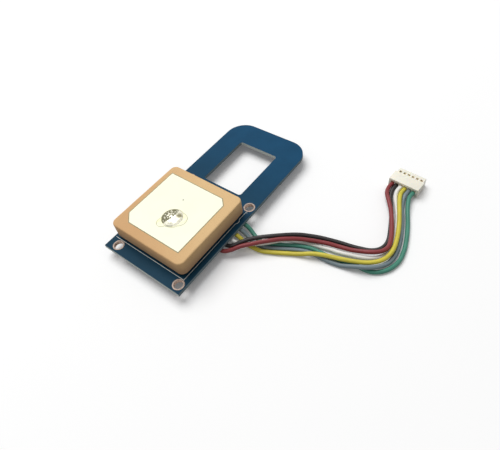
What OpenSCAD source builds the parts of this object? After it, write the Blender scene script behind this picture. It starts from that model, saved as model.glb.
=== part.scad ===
// Satellite receiver module: a loop-ended board, a ceramic patch antenna and a six-wire lead with a plug

/* [Board] */
// Width of the board
board_w = 27; // [25.5:0.5:32]
// Length of the board, with the loop
board_l = 59; // [57:0.5:70]
// Thickness of the board
board_t = 1; // [0.6:0.1:2]
// Outer corner radius at the loop's end
loop_r = 6; // [2:0.5:7]
// Width of the loop's window
window_w = 13.4; // [8:0.2:17]
// Length of the loop's window
window_l = 18; // [10:0.5:20]
// Corner radius of the window
window_r = 0.8; // [0.4:0.1:2]
// Width of the bar at the loop's end
end_bar = 8; // [6:0.5:10]

/* [Mounting holes] */
// Clear diameter of the plated holes
hole_d = 2.4; // [2:0.1:2.6]
// Diameter of the bare metal ring around each hole
ring_d = 3.2; // [2.8:0.1:3.4]
// Thickness of the plating and of the bare metal layers
plating_t = 0.05; // [0.03:0.01:0.1]
// Spacing of the holes across the board
hole_span_x = 21.8; // [20:0.2:22.4]
// Spacing of the holes along the board
hole_span_y = 28.8; // [28.4:0.2:29.6]
// Distance of the right-hand holes from the right edge
hole_right = 1.9; // [1.8:0.1:3]
// Distance of the front holes from the front edge
hole_front = 2.1; // [1.8:0.1:2.3]

/* [Antenna] */
// Side of the square ceramic block
antenna_w = 25; // [22:0.5:25.2]
// Thickness of the ceramic block
antenna_t = 4.6; // [3:0.1:6]
// Radius of the block's upright corners
antenna_r = 1.8; // [1:0.1:3]
// Leg of the bevel along the block's top edges
antenna_edge = 0.35; // [0.2:0.05:0.6]
// Distance of the block from the board's right edge
antenna_right = 1.7; // [1.6:0.1:2]
// Distance of the block from the board's front edge
antenna_front = 4.1; // [3.9:0.1:4.4]
// Thickness of the foam pad under the block
foam_t = 0.7; // [0.2:0.1:1.5]
// How far the foam pad stays inside the block's edge
foam_inset = 0.6; // [0.2:0.1:3]
// Bare ceramic left of the silver electrode
margin_left = 1.7; // [1:0.1:4]
// Bare ceramic right of the electrode
margin_right = 2.9; // [1:0.1:4]
// Bare ceramic in front of the electrode and behind it
margin_ends = 2.7; // [1:0.1:4]
// Leg of the electrode's front-left cut
electrode_cut = 2.5; // [0.5:0.1:4]
// Leg of the electrode's back-right cut
electrode_back_cut = 1.9; // [0.5:0.1:4]
// Thickness of the silver layers
silver_t = 0.05; // [0.03:0.01:0.1]

/* [Feed pin] */
// Diameter of the feed pin
pin_d = 1; // [0.6:0.1:1.4]
// Diameter of the pin's head
pin_head_d = 2.4; // [2:0.1:3]
// Height of the pin's head
pin_head_t = 0.3; // [0.2:0.05:0.5]
// Offset of the pin from the block's centre, across the board
pin_x = 0.7; // [-3:0.1:3]
// Offset of the pin from the block's centre, along the board
pin_y = -2.4; // [-4:0.05:-2]
// How far the pin stands out below the board
pin_tail = 0.9; // [0.5:0.1:1.2]
// Diameter of the solder dome over the pin's head
dome_d = 6; // [4:0.1:7]
// Height of the solder dome
dome_h = 0.9; // [0.6:0.05:1.2]

/* [Underside] */
// Height of the shield can, on which the module stands
can_h = 2.6; // [2.2:0.1:4]
// Width of the shield can
can_w = 15; // [13:0.5:16]
// Length of the shield can
can_l = 12; // [10:0.5:12]
// Sheet thickness of the shield can
can_sheet = 0.2; // [0.15:0.05:0.4]
// Corner radius of the shield can
can_r = 0.6; // [0.5:0.1:1.5]
// Side of the receiver chip
chip_w = 5; // [3:0.5:6]
// Thickness of the receiver chip
chip_t = 0.9; // [0.5:0.1:1.2]
// Diameter of the backup cell
cell_d = 6.8; // [4.8:0.2:7]
// Thickness of the cell's tabs
tab_t = 0.2; // [0.1:0.05:0.3]
// Side of the compass chip
compass_w = 3; // [2:0.5:4]
// Thickness of the compass chip
compass_t = 0.9; // [0.5:0.1:1.2]

/* [Lead] */
// Outer diameter of each wire
wire_d = 1.15; // [0.8:0.05:1.15]
// Diameter of the stripped wire ends
core_d = 0.5; // [0.3:0.05:0.6]
// Spacing of the wire pads on the board
pad_pitch = 2; // [1.8:0.1:2.2]
// Width of each wire pad
pad_w = 1.5; // [1.2:0.1:1.6]
// Length of each wire pad
pad_l = 3; // [2.6:0.1:3.4]
// Distance of the pads from the board's right edge
pad_right = 2.3; // [1.5:0.1:2.5]
// Distance from the front edge to the middle of the row of pads
pad_row = 21.5; // [20:0.5:23]

/* [Plug] */
// Spacing of the plug's ways
plug_pitch = 1.25; // [1.25:0.05:1.5]
// Length of the plug's housing
plug_l = 5.6; // [5:0.1:7]
// Height of the plug's housing
plug_h = 3; // [2.6:0.1:3.6]
// Wall at each end of the row of ways
plug_end_wall = 0.7; // [0.5:0.05:1.5]
// Length of the housing's nose, which goes into the mating socket
nose_l = 2; // [1.6:0.1:2.4]
// How much lower the nose is than the rest of the housing
nose_drop = 0.4; // [0.2:0.05:0.6]
// How far the nose stays inside the housing's ends
nose_inset = 0.4; // [0.2:0.05:0.45]
// Width of each cavity
cavity_w = 0.95; // [0.8:0.05:1.05]
// Height of each cavity
cavity_h = 1.6; // [1.4:0.1:1.8]

/* [Hidden] */
$fn = 48;
// Sides of the large circles that the shallow solder shapes are cut from
fine_sides = 192;

// Overshoot of every cut past the face it leaves through
cut = 1;
// Running room around pieces that pass through a hole
clearance = 0.1;

// Levels, up from the surface that the module stands on
board_z = can_h;
board_top = board_z + board_t;
ground_z = board_top + foam_t;
ceramic_z = ground_z + silver_t;
electrode_z = ceramic_z + antenna_t;
head_z = electrode_z + silver_t;

// Edges of the board
front_y = -board_l / 2;
back_y = board_l / 2;
right_x = board_w / 2;

// Middle of the antenna and place of its pin
antenna_x = right_x - antenna_right - antenna_w / 2;
antenna_y = front_y + antenna_front + antenna_w / 2;
feed = [antenna_x + pin_x, antenna_y + pin_y];

// Width of the solder cone below the board
cone_w = 0.7;

// Mounting holes, and the window's middle
holes_x = [right_x - hole_right - hole_span_x, right_x - hole_right];
holes_y = [front_y + hole_front, front_y + hole_front + hole_span_y];
window_y = back_y - end_bar - window_l / 2;

// Middles of the shield can and of the cell beside it, from the right and front edges
can_at = [16.5, 23];
can_x = right_x - can_at.x;
can_y = front_y + can_at.y;
cell_at = [20, 9];
cell_x = right_x - cell_at.x;
cell_y = front_y + cell_at.y;
cell_h = board_z - 2 * tab_t;
tab_w = 2.4;
tab_foot = 1.2;

// Small chips inside the can, as width, length and thickness, and how far in from the can's front corners
can_left = can_x - can_w / 2;
can_right = can_x + can_w / 2;
can_front = can_y - can_l / 2;
oscillator_size = [2.5, 2, 0.8];
oscillator_inset = [2, 1.6];
filter_size = [1.4, 1.1, 0.5];
filter_inset = [4, 1.2];
amplifier_size = [1.5, 1, 0.6];
amplifier_inset = [1.6, 1.2];
// Place of the receiver chip, from the can's middle
receiver_shift = [-1, 1];

// Voltage regulator and its leads
regulator_size = [2.9, 1.6, 1];
regulator_at = [8, 8];
regulator_x = right_x - regulator_at.x;
regulator_y = front_y + regulator_at.y;
regulator_lift = 0.1;
lead_w = 0.4;
lead_t = 0.15;
lead_reach = 0.6;
lead_pitch = 0.95;

// Two-ended parts, as length, width and thickness, and the length of one tinned end
capacitor_size = [1.6, 0.8, 0.8];
resistor_size = [1, 0.5, 0.35];
bead_size = [2, 1.2, 0.9];
lamp_size = [1.6, 0.8, 0.6];
end_share = 0.2;

// Places on the underside, as distance from the right edge, distance from the front edge and turn
capacitor_places = [[11.5, 5, 0], [7.9, 4.6, 0], [4.5, 8, 90], [4.5, 11.2, 90], [7.2, 17.6, 90],
    [7.2, 21.6, 90], [7.2, 25.6, 90]];
resistor_places = [[4.9, 4.8, 0], [10.3, 10.6, 90], [12.9, 4.6, 90], [15.5, 2.4, 0], [7.2, 19.6, 90],
    [7.2, 23.6, 90]];
bead_places = [[8.1, 13, 90], [10.5, 13, 90]];
lamp_places = [[11.1, 2, 0], [8.1, 2, 0]];
// The compass's own capacitors, to each side of it
compass_y = back_y - end_bar / 2;
compass_side = 1.4;

// Wire pads, the level of the wires below the board, and where their insulation starts
wire_gap = 0.05;
wire_z = board_z - plating_t - wire_gap - wire_d / 2;
pad_x = right_x - pad_right - pad_l / 2;
strip_back = 2.5;
strip_x = right_x - strip_back;
core_inset = 0.4;
core_l = pad_l - core_inset;
joint_l = 2.1;
joint_h = 0.8;
ways = 6;
middle_way = (ways - 1) / 2;
function pad_y(k) = front_y + pad_row + (k - middle_way) * pad_pitch;

// Plug: middle of the face that the wires enter, its turn, and its ways
plug_at = [42.3, 30.7];
plug_turn = -4;
plug_w = (ways - 1) * plug_pitch + cavity_w + 2 * plug_end_wall;
plug_mid_z = plug_h / 2;
plug_straight = 2;
lance_w = 0.7;
lance_l = 0.9;
lance_from_step = 0.1;
crimp_d = 0.8;
crimp_l = 1.8;
contact_w = 0.75;
contact_h = 1.3;
contact_end = 0.4;
contact_sheet = 0.15;
lance_rise = 0.4;
plug_along = [-sin(plug_turn), cos(plug_turn)];
plug_across = [cos(plug_turn), sin(plug_turn)];
function way_x(k) = (k - middle_way) * plug_pitch;
function way_point(k, d) =
    let (p = plug_at + plug_across * way_x(k) - plug_along * d)
    [p.x, p.y, plug_mid_z];

// Routes of the wires between the board's edge and the plug
red_route = [[15.3, -11.9, 2.3], [17, -10, 2.9], [18.9, -8.2, 3.2], [20.7, -6.3, 3.25], [22.6, -4.5, 3.25],
    [24.4, -2.7, 3.1], [26.4, -1, 2.8], [28.4, 0.5, 2.4], [30.6, 1.8, 2], [32.9, 2.9, 1.7],
    [35.3, 3.8, 1.5], [37.8, 4.5, 1.3], [40.3, 5.1, 1.3], [42.7, 5.9, 1.5], [44.9, 6.7, 1.9],
    [46.9, 8.1, 2], [47.9, 10.2, 2], [47.4, 12.8, 1.95], [46.2, 15.8, 1.9], [44.8, 18.7, 1.9],
    [43.1, 21.7, 1.9], [41.2, 24.4, 1.9], [39.6, 26.7, 1.8]];
black_route = [[15.1, -10.3, 2.4], [16.5, -8.6, 3], [17.9, -6.9, 3.2], [19.8, -5, 3.2], [21.8, -3.3, 3.2],
    [23.7, -1.6, 3], [25.6, 0.2, 2.6], [27.6, 1.8, 2.2], [29.8, 3.1, 1.8], [32.1, 4.2, 1.5],
    [34.6, 5.1, 1.2], [37, 5.9, 0.9], [39.5, 6.5, 0.7], [42, 7.2, 0.6], [44.3, 8, 0.6], [46, 9.4, 0.6],
    [46.8, 11.3, 0.6], [46.7, 13.4, 0.6], [45.9, 15.9, 0.6], [44.8, 18.7, 0.6], [43.5, 21.7, 0.6],
    [42, 24.4, 0.7], [40.7, 26.8, 1.1]];
white_route = [[15.4, -8.8, 1.7], [17.3, -7.9, 1.85], [19.2, -6.7, 1.9], [20.9, -5.4, 1.9], [22.4, -4, 1.9],
    [24.1, -2.2, 1.7], [25.9, -0.5, 1.1], [28.3, 0.8, 0.6], [30.8, 1.7, 0.6], [33.3, 2.3, 0.6],
    [36, 2.9, 0.6], [38.6, 3.4, 0.6], [41, 4.1, 0.6], [43.4, 4.9, 0.6], [45.5, 5.9, 0.6], [47.3, 7.5, 0.6],
    [48.3, 9.6, 0.6], [48.3, 12.2, 0.6], [47.5, 15.5, 0.6], [46.3, 18.8, 0.6], [45, 21.9, 0.6],
    [43.5, 24.5, 0.7], [42.1, 26.8, 1.1]];
yellow_route = [[15.2, -7.1, 1.3], [17.2, -7.25, 0.7], [19.4, -7.2, 0.6], [21.6, -6.85, 0.6],
    [23.7, -5.9, 0.6], [26, -4.75, 0.6], [28.2, -3.55, 0.6], [30.5, -2.45, 0.9], [32.8, -1.4, 1.6],
    [35.2, -0.4, 1.85], [37.6, 0.4, 1.85], [39.9, 1.1, 1.85], [42.1, 1.9, 1.85], [44.3, 2.8, 1.85],
    [46.4, 4, 1.9], [48.2, 5.8, 1.95], [49.1, 8.2, 1.8], [49.2, 10.7, 1.8], [48.7, 13.3, 1.8],
    [47.9, 16, 1.8], [46.8, 18.9, 1.8], [45.4, 22, 1.8], [44.1, 24.7, 1.8], [43.2, 26.9, 1.85]];
grey_route = [[15.1, -5.1, 1.3], [17, -5.5, 0.7], [19, -5.8, 0.6], [21, -5.6, 0.6], [23, -4.85, 0.6],
    [25.3, -3.65, 0.6], [27.5, -2.45, 0.6], [29.9, -1.3, 0.6], [32.2, -0.6, 0.6], [34.8, -0.5, 0.6],
    [37.3, -0.4, 0.6], [39.8, 0, 0.6], [42, 0.6, 1], [44.1, 1.3, 1.6], [46.2, 2.2, 1.9], [48.1, 3.7, 1.75],
    [49.3, 5.6, 1.2], [50, 7.8, 0.7], [50.1, 10.4, 0.6], [49.6, 13.3, 0.6], [48.8, 16, 0.6],
    [47.7, 19, 0.6], [46.4, 22, 0.6], [45.1, 24.6, 0.7], [44.3, 26.9, 1.1]];
green_route = [[15.1, -3.2, 1.3], [16.9, -3.8, 0.7], [18.7, -4.4, 0.6], [20.5, -4.4, 0.6], [22.4, -3.7, 0.6],
    [24.5, -2.6, 0.6], [26.7, -1.4, 0.6], [29.1, -0.2, 0.6], [31.7, 0.6, 0.6], [34.2, 0.8, 0.6],
    [36.7, 0.9, 0.6], [39.2, 1.3, 0.6], [41.6, 1.8, 0.6], [43.8, 2.2, 0.6], [45.8, 2.2, 0.6],
    [47.7, 2.6, 0.6], [49.4, 3.8, 0.6], [50.9, 5.9, 0.6], [51.7, 9, 0.6], [51.3, 12.6, 0.6],
    [50.4, 15.8, 0.6], [49.3, 18.8, 0.6], [48, 21.8, 0.6], [46.6, 24.6, 1], [45.7, 26.8, 1.4]];
wire_sides = 8;

// Whole route of one wire, from where its insulation starts to the plug's face
function wire_path(k, route) = concat([[strip_x, pad_y(k), wire_z], [right_x, pad_y(k), wire_z]], route,
                                      [way_point(k, plug_straight), way_point(k, 0)]);

// Direction of a path at one of its points
function heading(path, i) =
    let (a = path[max(i - 1, 0)], b = path[min(i + 1, len(path) - 1)])
    (b - a) / norm(b - a);

// Ring of points around a path, square to it
function ring(path, i, d) = let (
    t = i == len(path) - 1 ? (path[i] - path[i - 1]) / norm(path[i] - path[i - 1]) : heading(path, i),
    side = cross(t, [0, 0, 1]) / norm(cross(t, [0, 0, 1])),
    up = cross(side, t))
    [for (s = [0:wire_sides - 1])
        let (a = 360 * s / wire_sides)
        path[i] + d / 2 * (cos(a) * side + sin(a) * up)];

// Tube of one wire along its path
module wire_tube(k, route) {
    path = wire_path(k, route);
    n = len(path);
    points = [for (i = [0:n - 1]) each ring(path, i, wire_d)];
    walls = [for (i = [0:n - 2], s = [0:wire_sides - 1]) let (
        a = i * wire_sides + s,
        b = i * wire_sides + (s + 1) % wire_sides)
        each [[a, a + wire_sides, b], [b, a + wire_sides, b + wire_sides]]];
    start = [for (s = [0:wire_sides - 1]) s];
    finish = [for (s = [wire_sides - 1:-1:0]) (n - 1) * wire_sides + s];
    polyhedron(points = points, faces = concat([start], walls, [finish]));
}

// Radius of the sphere that a lens of the given width and height is cut from
function lens_r(w, h) = (w * w / 4 + h * h) / (2 * h);

// Rectangle with round corners, about the origin
module round_rect(w, l, r) {
    square([w - 2 * r, l], center = true);
    square([w, l - 2 * r], center = true);
    for (x = [-1, 1], y = [-1, 1])
        translate([x * (w / 2 - r), y * (l / 2 - r)]) circle(r);
}

// Children at each mounting hole
module at_holes() {
    for (x = holes_x, y = holes_y)
        translate([x, y, board_z]) children();
}

// Children at each place of a list, with the board's underside as their own level
module at_places(places) {
    for (p = places)
        translate([right_x - p.x, front_y + p.y, board_z]) rotate(p.z) children();
}

// Children to both sides of the compass chip
module beside_compass() {
    for (s = [-1, 1])
        translate([s * (compass_w / 2 + compass_side), compass_y, board_z]) rotate(90) children();
}

// Block that hangs from the level it is drawn at
module hung_block(size) {
    translate([-size.x / 2, -size.y / 2, -size.z]) cube(size);
}

// Middle and ends of a two-ended part
module part_middle(size) {
    hung_block([size.x * (1 - 2 * end_share), size.y, size.z]);
}

module part_ends(size) {
    for (s = [-1, 1])
        translate([s * size.x * (1 - end_share) / 2, 0, 0]) hung_block([size.x * end_share, size.y, size.z]);
}

module board_outline() {
    translate([-right_x, front_y]) square([board_w, board_l - loop_r]);
    translate([-right_x + loop_r, front_y]) square([board_w - 2 * loop_r, board_l]);
    for (s = [-1, 1])
        translate([s * (right_x - loop_r), back_y - loop_r]) circle(loop_r);
}

module circuit_board() {
    color("#1b4a70")
    difference() {
        translate([0, 0, board_z]) linear_extrude(board_t) board_outline();
        translate([0, window_y, board_z - cut]) linear_extrude(board_t + 2 * cut)
            round_rect(window_w, window_l, window_r);
        at_holes() translate([0, 0, -cut]) cylinder(d = hole_d + 2 * plating_t, h = board_t + 2 * cut);
        translate([feed.x, feed.y, board_z - cut])
            cylinder(d = pin_d + 2 * clearance, h = board_t + 2 * cut);
    }
}

module hole_platings() {
    color("#c99a86")
    at_holes() difference() {
        union() {
            translate([0, 0, -plating_t]) cylinder(d = hole_d + 2 * plating_t, h = board_t + 2 * plating_t);
            translate([0, 0, -plating_t]) cylinder(d = ring_d, h = plating_t);
            translate([0, 0, board_t]) cylinder(d = ring_d, h = plating_t);
        }
        translate([0, 0, -cut]) cylinder(d = hole_d, h = board_t + 2 * cut);
    }
}

// Foam pad, cut away around the pin and clear of the rings
module foam_pad() {
    foam_w = antenna_w - 2 * foam_inset;
    color("#161616")
    difference() {
        translate([antenna_x, antenna_y, board_top]) linear_extrude(foam_t)
            round_rect(foam_w, foam_w, antenna_r);
        translate([feed.x, feed.y, board_top - cut]) cylinder(d = pin_head_d, h = foam_t + 2 * cut);
        at_holes() cylinder(d = ring_d + 2 * clearance, h = board_t + foam_t + cut);
    }
}

module antenna_ground() {
    ground_w = antenna_w - 2 * antenna_edge;
    color("#d8d6cc")
    difference() {
        translate([antenna_x, antenna_y, ground_z]) linear_extrude(silver_t)
            round_rect(ground_w, ground_w, antenna_r);
        translate([feed.x, feed.y, ground_z - cut]) cylinder(d = pin_head_d, h = silver_t + 2 * cut);
    }
}

// Ceramic block with its top edges taken off at 45 degrees, along the sides and around the corners
module ceramic_block() {
    bar = antenna_edge * sqrt(2);
    corner = (antenna_w / 2 - antenna_r) * sqrt(2) + antenna_r;
    difference() {
        linear_extrude(antenna_t) round_rect(antenna_w, antenna_w, antenna_r);
        for (turn = [0:90:270]) {
            rotate(turn) translate([antenna_w / 2, 0, antenna_t]) rotate([0, 45, 0])
                cube([bar, antenna_w, bar], center = true);
            rotate(turn + 45) translate([corner, 0, antenna_t]) rotate([0, 45, 0])
                cube([bar, 2 * antenna_r, bar], center = true);
        }
    }
}

module antenna_ceramic() {
    color("#d9a877")
    difference() {
        translate([antenna_x, antenna_y, ceramic_z]) ceramic_block();
        translate([feed.x, feed.y, ceramic_z - cut])
            cylinder(d = pin_d + 2 * clearance, h = antenna_t + 2 * cut);
    }
}

// Silver rectangle with the front-left and back-right corners cut
module electrode_outline() {
    left = margin_left - antenna_w / 2;
    right = antenna_w / 2 - margin_right;
    back = antenna_w / 2 - margin_ends;
    polygon([[left + electrode_cut, -back], [right, -back], [right, back - electrode_back_cut],
        [right - electrode_back_cut, back], [left, back], [left, electrode_cut - back]]);
}

module antenna_electrode() {
    color("#f4f1e2")
    difference() {
        translate([antenna_x, antenna_y, electrode_z]) linear_extrude(silver_t) electrode_outline();
        translate([feed.x, feed.y, electrode_z - cut]) cylinder(d = pin_d, h = silver_t + 2 * cut);
    }
}

module feed_pin() {
    bottom = board_z - pin_tail;
    color("#cfcac0")
    translate([feed.x, feed.y, 0]) {
        translate([0, 0, bottom]) cylinder(d = pin_d, h = head_z - bottom + pin_head_t);
        translate([0, 0, head_z]) cylinder(d = pin_head_d, h = pin_head_t);
    }
}

// Dome of solder over the pin's head
module feed_solder_top() {
    r = lens_r(dome_d, dome_h);
    color("#d5d3cb")
    translate([feed.x, feed.y, head_z]) difference() {
        rotate_extrude() intersection() {
            translate([0, dome_h - r]) circle(r, $fn = fine_sides);
            square([dome_d / 2, dome_h]);
        }
        translate([0, 0, -cut]) cylinder(d = pin_head_d, h = pin_head_t + cut);
    }
}

// Cone of solder around the pin's tail
module feed_solder_bottom() {
    r = pin_d / 2;
    foot = r + cone_w;
    color("#d5d3cb")
    translate([feed.x, feed.y, board_z]) rotate_extrude()
        polygon([[r, 0], [foot, 0], [r + clearance, -pin_tail], [r, -pin_tail]]);
}

module shield_can() {
    color("#b9bcbf")
    translate([can_x, can_y, 0]) difference() {
        linear_extrude(can_h) round_rect(can_w, can_l, can_r);
        translate([0, 0, can_sheet]) linear_extrude(can_h)
            round_rect(can_w - 2 * can_sheet, can_l - 2 * can_sheet, can_r - can_sheet);
    }
}

module receiver_chip() {
    color("#1a1a1c")
    translate([can_x + receiver_shift.x, can_y + receiver_shift.y, board_z])
        hung_block([chip_w, chip_w, chip_t]);
}

module oscillator() {
    color("#c9c5b8")
    translate([can_left + oscillator_inset.x, can_front + oscillator_inset.y, board_z])
        hung_block(oscillator_size);
}

module input_filter() {
    color("#c9c5b8")
    translate([can_right - filter_inset.x, can_front + filter_inset.y, board_z])
        hung_block(filter_size);
}

module input_amplifier() {
    color("#1a1a1c")
    translate([can_right - amplifier_inset.x, can_front + amplifier_inset.y, board_z])
        hung_block(amplifier_size);
}

module voltage_regulator() {
    color("#1a1a1c")
    translate([regulator_x, regulator_y, board_z - regulator_lift]) hung_block(regulator_size);
}

// One lead: out of the body's side, up to the board and along it
module regulator_lead() {
    mid = regulator_size.z / 2 + regulator_lift;
    translate([-lead_w / 2, 0, -mid]) cube([lead_w, lead_reach / 2, lead_t]);
    translate([-lead_w / 2, lead_reach / 2 - lead_t, -mid]) cube([lead_w, lead_t, mid]);
    translate([-lead_w / 2, lead_reach / 2 - lead_t, -lead_t])
        cube([lead_w, lead_reach / 2 + lead_t, lead_t]);
}

module regulator_leads() {
    half = regulator_size.y / 2;
    color("#d5d3cb")
    translate([regulator_x, regulator_y, board_z]) {
        for (s = [-1, 0, 1])
            translate([s * lead_pitch, half, 0]) regulator_lead();
        for (s = [-1, 1])
            translate([s * lead_pitch, -half, 0]) rotate(180) regulator_lead();
    }
}

module backup_cell() {
    color("#c4c6c8")
    translate([cell_x, cell_y, tab_t]) cylinder(d = cell_d, h = cell_h);
}

// Straps above and below the cell, each with a foot on the board
module cell_tabs() {
    reach = cell_d / 2 + clearance;
    color("#b9b6ab")
    translate([cell_x, cell_y, 0]) {
        translate([-tab_w / 2, -tab_w / 2, board_z - tab_t])
            cube([reach + tab_foot + tab_w / 2, tab_w, tab_t]);
        translate([-reach - tab_t, -tab_w / 2, 0]) cube([reach + tab_t + tab_w / 2, tab_w, tab_t]);
        translate([-reach - tab_t, -tab_w / 2, 0]) cube([tab_t, tab_w, board_z]);
        translate([-reach - tab_foot, -tab_w / 2, board_z - tab_t]) cube([tab_foot, tab_w, tab_t]);
    }
}

module compass_chip() {
    color("#1a1a1c")
    translate([0, compass_y, board_z]) hung_block([compass_w, compass_w, compass_t]);
}

module capacitors() {
    color("#b08a5a") {
        at_places(capacitor_places) part_middle(capacitor_size);
        beside_compass() part_middle(capacitor_size);
    }
}

module resistors() {
    color("#202020")
    at_places(resistor_places) part_middle(resistor_size);
}

module ferrite_beads() {
    color("#4a4644")
    at_places(bead_places) part_middle(bead_size);
}

module status_lamps() {
    color("#e8ecd8")
    at_places(lamp_places) part_middle(lamp_size);
}

module tinned_ends() {
    color("#d5d3cb") {
        at_places(capacitor_places) part_ends(capacitor_size);
        beside_compass() part_ends(capacitor_size);
        at_places(resistor_places) part_ends(resistor_size);
        at_places(bead_places) part_ends(bead_size);
        at_places(lamp_places) part_ends(lamp_size);
    }
}

module wire_pads() {
    color("#d5d3cb")
    for (k = [0:ways - 1])
        translate([pad_x, pad_y(k), board_z]) hung_block([pad_l, pad_w, plating_t]);
}

module wire_core(k) {
    translate([strip_x - core_l, pad_y(k), wire_z]) rotate([0, 90, 0]) cylinder(d = core_d, h = core_l);
}

module wire_cores() {
    color("#cfcac0")
    for (k = [0:ways - 1])
        wire_core(k);
}

// Lens of solder around one stripped end, flat against its pad
module solder_lens() {
    r = lens_r(joint_l, joint_h);
    rotate([0, 90, 0]) rotate_extrude() intersection() {
        translate([joint_h - r, 0]) circle(r, $fn = fine_sides);
        translate([0, -joint_l]) square(2 * joint_l);
    }
}

module wire_solder() {
    level = board_z - plating_t;
    color("#d5d3cb")
    for (k = [0:ways - 1])
        difference() {
            intersection() {
                translate([strip_x - core_l / 2, pad_y(k), wire_z]) solder_lens();
                translate([strip_x - core_l, pad_y(k) - pad_w / 2, 0]) cube([core_l, pad_w, level]);
            }
            wire_core(k);
        }
}

module wire_red() {
    color("#a3262c") wire_tube(0, red_route);
}

module wire_black() {
    color("#1c1a1a") wire_tube(1, black_route);
}

module wire_white() {
    color("#eeeae0") wire_tube(2, white_route);
}

module wire_yellow() {
    color("#e0c936") wire_tube(3, yellow_route);
}

module wire_grey() {
    color("#71838c") wire_tube(4, grey_route);
}

module wire_green() {
    color("#2f8f6b") wire_tube(5, green_route);
}

// Children in the plug's own frame, with the wires' face at y = 0
module at_plug() {
    translate([plug_at.x, plug_at.y, 0]) rotate(plug_turn) children();
}

// Housing with a lower nose, a cavity for each way and a window over each contact's lance
module plug_housing() {
    nose_w = plug_w - 2 * nose_inset;
    color("#f1ecd9")
    at_plug() difference() {
        union() {
            translate([-plug_w / 2, 0, 0]) cube([plug_w, plug_l - nose_l, plug_h]);
            translate([-nose_w / 2, 0, 0]) cube([nose_w, plug_l, plug_h - nose_drop]);
        }
        for (k = [0:ways - 1]) {
            translate([way_x(k) - cavity_w / 2, -cut, plug_mid_z - cavity_h / 2])
                cube([cavity_w, plug_l + 2 * cut, cavity_h]);
            translate([way_x(k) - lance_w / 2, plug_l - nose_l + lance_from_step, plug_mid_z])
                cube([lance_w, lance_l, plug_h]);
        }
    }
}

// Spring lance of one contact, bent up into the housing's window
module contact_lance() {
    l = lance_l - 2 * clearance;
    w = lance_w - 2 * clearance;
    translate([-w / 2, 0, 0]) rotate([90, 0, 90]) linear_extrude(w)
        polygon([[0, lance_rise - contact_sheet], [l - contact_sheet, 0], [l, 0], [0, lance_rise]]);
}

// Crimped contact of one way: barrel on the wire's end, then an open box that takes the mating pin
module plug_contact() {
    box_l = plug_l - crimp_l - contact_end;
    floor_z = plug_mid_z - cavity_h / 2;
    inner = contact_w - 2 * contact_sheet;
    translate([0, 0, plug_mid_z]) rotate([-90, 0, 0]) cylinder(d = crimp_d, h = crimp_l);
    translate([-contact_w / 2, crimp_l, floor_z]) difference() {
        cube([contact_w, box_l, contact_h]);
        translate([contact_sheet, contact_sheet, contact_sheet])
            cube([inner, box_l, contact_h - 2 * contact_sheet]);
    }
    translate([0, plug_l - nose_l + lance_from_step + clearance, floor_z + contact_h]) contact_lance();
}

module plug_contacts() {
    color("#c9b07a")
    at_plug()
        for (k = [0:ways - 1])
            translate([way_x(k), 0, 0]) plug_contact();
}

circuit_board();
hole_platings();
foam_pad();
antenna_ground();
antenna_ceramic();
antenna_electrode();
feed_pin();
feed_solder_top();
feed_solder_bottom();
shield_can();
receiver_chip();
oscillator();
input_filter();
input_amplifier();
voltage_regulator();
regulator_leads();
backup_cell();
cell_tabs();
compass_chip();
capacitors();
resistors();
ferrite_beads();
status_lamps();
tinned_ends();
wire_pads();
wire_cores();
wire_solder();
wire_red();
wire_black();
wire_white();
wire_yellow();
wire_grey();
wire_green();
plug_housing();
plug_contacts();
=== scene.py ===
import math

import bmesh
import bpy
from mathutils import Matrix, Vector, noise


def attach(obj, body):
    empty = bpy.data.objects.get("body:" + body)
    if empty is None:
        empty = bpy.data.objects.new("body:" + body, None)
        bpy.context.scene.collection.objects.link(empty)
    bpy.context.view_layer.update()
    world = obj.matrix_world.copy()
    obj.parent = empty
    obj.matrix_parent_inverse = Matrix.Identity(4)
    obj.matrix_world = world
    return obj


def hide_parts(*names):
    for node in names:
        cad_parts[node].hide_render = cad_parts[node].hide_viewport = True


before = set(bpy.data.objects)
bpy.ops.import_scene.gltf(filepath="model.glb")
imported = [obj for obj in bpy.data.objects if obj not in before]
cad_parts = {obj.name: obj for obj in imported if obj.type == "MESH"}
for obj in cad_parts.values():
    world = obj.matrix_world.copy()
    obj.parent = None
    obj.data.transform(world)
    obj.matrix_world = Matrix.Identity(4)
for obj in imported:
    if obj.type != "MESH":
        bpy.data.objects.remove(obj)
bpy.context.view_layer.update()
scene = bpy.context.scene
scene.view_settings.view_transform = "Standard"
mm = 0.001
print("frame loaded:", len(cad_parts), "nodes")


# camera, fitted to the board's and the antenna's edges
cameraSetup = {
    "place": (65.59, -54.35, 92.85),  # mm
    "right": (0.7952, 0.597, -0.1061),
    "up": (-0.4185, 0.6671, 0.6164),
    "lens": 31.28,
    "sensor": 36.0,
}


def addCamera():
    data = bpy.data.cameras.new("photoCamera")
    data.lens = cameraSetup["lens"]
    data.sensor_width = cameraSetup["sensor"]
    data.clip_start = 1 * mm
    right = Vector(cameraSetup["right"]).normalized()
    up = Vector(cameraSetup["up"])
    up = (up - right * right.dot(up)).normalized()
    turn = Matrix((right, up, right.cross(up))).transposed().to_4x4()
    camera = bpy.data.objects.new("photoCamera", data)
    camera.matrix_world = Matrix.Translation(Vector(cameraSetup["place"]) * mm) @ turn
    scene.collection.objects.link(camera)
    scene.camera = camera


addCamera()


# small helpers for node materials
def addNode(tree, kind, sockets=None, **settings):
    made = tree.nodes.new(kind)
    for key, value in settings.items():
        setattr(made, key, value)
    for key, value in (sockets or {}).items():
        if isinstance(value, bpy.types.NodeSocket):
            tree.links.new(value, made.inputs[key])
        else:
            made.inputs[key].default_value = value
    return made


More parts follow.
